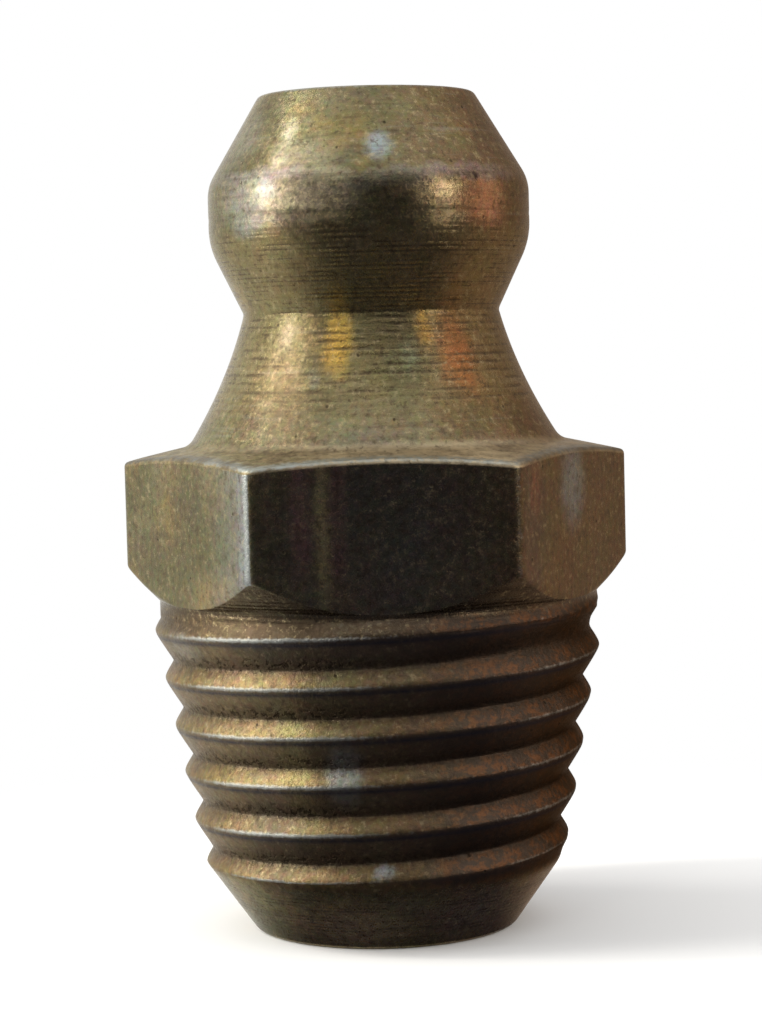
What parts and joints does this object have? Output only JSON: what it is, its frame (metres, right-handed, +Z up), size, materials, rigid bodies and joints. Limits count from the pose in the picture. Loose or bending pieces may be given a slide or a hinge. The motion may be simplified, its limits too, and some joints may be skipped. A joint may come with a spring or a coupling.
{
  "type": "grease nipple",
  "caption": "Straight conical-head grease nipple with a waisted neck, hexagon and tapered rolled thread, holding a sprung check ball.",
  "frame": {"origin": "centre of the flat thread end, at the bottom of the part", "axes": "+Z up the axis to the coupler head; +X to a corner of the hexagon; -Y square to one of its flats"},
  "size_m": [0.0102, 0.0091, 0.0169],
  "materials": {
    "plated_steel": "aged yellow-passivated zinc plating, turned",
    "bearing_steel": "polished bearing steel",
    "spring_wire": "bright drawn spring wire"
  },
  "bodies": {
    "nipple": {"nipple_body": "plated_steel", "check_spring": "spring_wire"},
    "ball": {"check_ball": "bearing_steel"}
  },
  "joints": [
    {"name": "ball_lift", "type": "slide", "parent": "nipple", "child": "ball", "axis": [0, 0, -1], "range_m": [0, 0.001], "stiffness_N_per_m": 1250, "springref_m": -0.0011, "deforming": ["check_spring"]}
  ]
}
